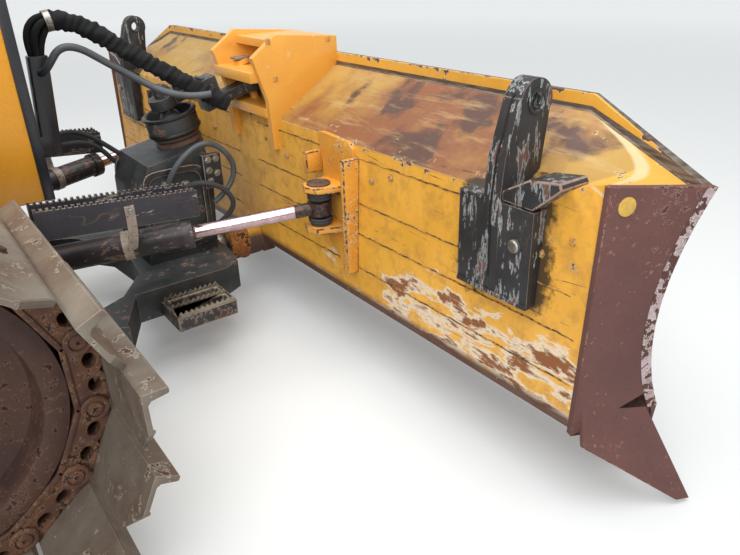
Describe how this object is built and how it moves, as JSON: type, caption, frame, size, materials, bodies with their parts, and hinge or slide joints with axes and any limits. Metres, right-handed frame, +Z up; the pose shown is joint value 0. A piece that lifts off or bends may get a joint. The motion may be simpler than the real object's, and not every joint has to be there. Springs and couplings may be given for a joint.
{
  "type": "bulldozer",
  "caption": "Crawler bulldozer with cab, C-frame, and a straight flared blade that lifts, angles and tilts by hydraulic cylinders",
  "frame": {"origin": "on the ground under the middle of the machine's overall box", "axes": "+X forward to the blade, +Y to the driver's left, +Z up"},
  "size_m": [5.461, 4.17, 3.205],
  "materials": {
    "yellow_paint": "satin",
    "black_paint": "satin",
    "rusty_steel": "matt",
    "track_steel": "worn",
    "chrome_rod": "polished",
    "cab_glass": "clear",
    "hose_rubber": "matt",
    "seat_vinyl": "matt",
    "dark_plastic": "matt",
    "lamp_glass": "clear"
  },
  "bodies": {
    "chassis": {"air_cleaner": "black_paint", "cab": "yellow_paint", "cab_glass": "cab_glass", "consoles": "dark_plastic", "deck": "yellow_paint", "engine": "black_paint", "exhaust_stack": "black_paint", "final_drives": "yellow_paint", "fuel_tank": "yellow_paint", "grille": "black_paint", "hitch": "yellow_paint", "hood": "yellow_paint", "hose_post": "black_paint", "hose_sleeve": "hose_rubber", "hose_smooth": "hose_rubber", "idlers": "rusty_steel", "lamps": "lamp_glass", "lift_uprights": "black_paint", "main_frame": "yellow_paint", "roller_frames": "yellow_paint", "rollers": "rusty_steel", "roof": "yellow_paint", "seat": "seat_vinyl", "seat_base": "black_paint", "sprockets": "rusty_steel", "track_left": "track_steel", "track_right": "track_steel"},
    "c_frame": {"c_frame": "black_paint", "tower": "black_paint", "nose_steps": "black_paint", "lift_lugs": "black_paint"},
    "swivel": {"lower_ball": "black_paint", "cup_pin": "black_paint"},
    "pitch_link": {"pitch_link": "black_paint"},
    "blade": {"blade": "yellow_paint", "end_plates": "rusty_steel", "cutting_edge": "rusty_steel", "mast_brackets": "black_paint", "centre_bracket": "yellow_paint", "angle_clevises": "black_paint", "tilt_bracket": "black_paint"},
    "tilt_barrel": {"tilt_barrel": "black_paint"},
    "tilt_rod": {"tilt_rod": "chrome_rod"},
    "lift_barrel_left": {"lift_barrel_left": "black_paint"},
    "lift_rod_left": {"lift_rod_left": "chrome_rod"},
    "angle_pin_left": {"angle_pin_left": "black_paint"},
    "angle_barrel_left": {"angle_barrel_left": "black_paint", "angle_step_left": "black_paint"},
    "angle_rod_left": {"angle_rod_left": "chrome_rod"},
    "door_left": {"door_left": "yellow_paint", "door_glass_left": "cab_glass"},
    "lift_barrel_right": {"lift_barrel_right": "black_paint"},
    "lift_rod_right": {"lift_rod_right": "chrome_rod"},
    "angle_pin_right": {"angle_pin_right": "black_paint"},
    "angle_barrel_right": {"angle_barrel_right": "black_paint", "angle_step_right": "black_paint"},
    "angle_rod_right": {"angle_rod_right": "chrome_rod"},
    "door_right": {"door_right": "yellow_paint", "door_glass_right": "cab_glass"}
  },
  "joints": [
    {"name": "lift", "type": "hinge", "parent": "chassis", "child": "c_frame", "pos_m": [-0.122, 0, 0.5], "axis": [0, -1, 0], "range_deg": [-10, 20], "deforming": ["hose_sleeve", "hose_smooth"]},
    {"name": "angle", "type": "hinge", "parent": "c_frame", "child": "swivel", "pos_m": [2.188, 0, 0.276], "axis": [-0.2059, 0, 0.9786], "range_deg": [-20, 20]},
    {"name": "tilt", "type": "hinge", "parent": "swivel", "child": "blade", "pos_m": [2.188, 0, 0.276], "axis": [1, 0, 0], "range_deg": [-5, 5]},
    {"name": "pitch_link_hinge", "type": "hinge", "parent": "swivel", "child": "pitch_link", "pos_m": [2.063, 0, 0.87], "axis": [-0.272, 0, 0.9623], "range_deg": [-9.03, 9.03]},
    {"name": "lift_barrel_left_hinge", "type": "hinge", "parent": "chassis", "child": "lift_barrel_left", "pos_m": [0.678, 0.545, 1.3], "axis": [0, -1, 0], "range_deg": [-4.42, 8.82]},
    {"name": "lift_rod_left_slide", "type": "slide", "parent": "lift_barrel_left", "child": "lift_rod_left", "axis": [0.3672, 0, -0.9302], "range_m": [-0.36859, 0.18454]},
    {"name": "angle_pin_left_hinge", "type": "hinge", "parent": "c_frame", "child": "angle_pin_left", "pos_m": [1.348, 0.397, 0.563], "axis": [-0.1422, 0.2212, 0.9648], "range_deg": [-8.34, 8.34]},
    {"name": "angle_barrel_left_hinge", "type": "hinge", "parent": "angle_pin_left", "child": "angle_barrel_left", "pos_m": [1.348, 0.397, 0.563], "axis": [0.3184, -0.8518, -0.4159], "range_deg": [-3.85, 3.85]},
    {"name": "angle_rod_left_slide", "type": "slide", "parent": "angle_barrel_left", "child": "angle_rod_left", "axis": [0.9448, 0.3211, 0.0656], "range_m": [-0.21188, 0.21188]},
    {"name": "lift_barrel_right_hinge", "type": "hinge", "parent": "chassis", "child": "lift_barrel_right", "pos_m": [0.678, -0.545, 1.3], "axis": [0, -1, 0], "range_deg": [-4.42, 8.82]},
    {"name": "lift_rod_right_slide", "type": "slide", "parent": "lift_barrel_right", "child": "lift_rod_right", "axis": [0.3672, 0, -0.9302], "range_m": [-0.36859, 0.18454]},
    {"name": "angle_pin_right_hinge", "type": "hinge", "parent": "c_frame", "child": "angle_pin_right", "pos_m": [1.348, -0.397, 0.563], "axis": [-0.1422, -0.2212, 0.9648], "range_deg": [-8.34, 8.34]},
    {"name": "angle_barrel_right_hinge", "type": "hinge", "parent": "angle_pin_right", "child": "angle_barrel_right", "pos_m": [1.348, -0.397, 0.563], "axis": [0.3184, 0.8518, -0.4159], "range_deg": [-3.85, 3.85]},
    {"name": "angle_rod_right_slide", "type": "slide", "parent": "angle_barrel_right", "child": "angle_rod_right", "axis": [0.9448, -0.3211, 0.0656], "range_m": [-0.21188, 0.21188]},
    {"name": "tilt_barrel_hinge", "type": "hinge", "parent": "blade", "child": "tilt_barrel", "pos_m": [2.318, 0.68, 0.845], "axis": [-0.0172, -0.2005, -0.9795], "range_deg": [-2.43, 2.43]},
    {"name": "tilt_rod_slide", "type": "slide", "parent": "tilt_barrel", "child": "tilt_rod", "axis": [-0.4193, -0.8879, 0.1891], "range_m": [-0.05581, 0.05581]},
    {"name": "door_left_hinge", "type": "hinge", "parent": "chassis", "child": "door_left", "pos_m": [-1.1, 0.712, 1.8], "axis": [0, 0, 1], "range_deg": [0, 90]},
    {"name": "door_right_hinge", "type": "hinge", "parent": "chassis", "child": "door_right", "pos_m": [-1.1, -0.712, 1.8], "axis": [0, 0, -1], "range_deg": [0, 90]}
  ],
  "couplings": [
    {"joint": "pitch_link_hinge", "follows": "tilt", "ratio": -1.7963},
    {"joint": "lift_barrel_left_hinge", "follows": "lift", "ratio": 0.44004},
    {"joint": "lift_rod_left_slide", "follows": "lift", "m_per_rad": -1.0545},
    {"joint": "angle_pin_left_hinge", "follows": "angle", "ratio": 0.41577},
    {"joint": "angle_barrel_left_hinge", "follows": "tilt", "ratio": 0.76522},
    {"joint": "angle_rod_left_slide", "follows": "angle", "m_per_rad": -0.60556},
    {"joint": "lift_barrel_right_hinge", "follows": "lift", "ratio": 0.44004},
    {"joint": "lift_rod_right_slide", "follows": "lift", "m_per_rad": -1.0545},
    {"joint": "angle_pin_right_hinge", "follows": "angle", "ratio": 0.41577},
    {"joint": "angle_barrel_right_hinge", "follows": "tilt", "ratio": 0.76522},
    {"joint": "angle_rod_right_slide", "follows": "angle", "m_per_rad": 0.60556},
    {"joint": "tilt_barrel_hinge", "follows": "tilt", "ratio": 0.48144},
    {"joint": "tilt_rod_slide", "follows": "tilt", "m_per_rad": -0.63382}
  ]
}
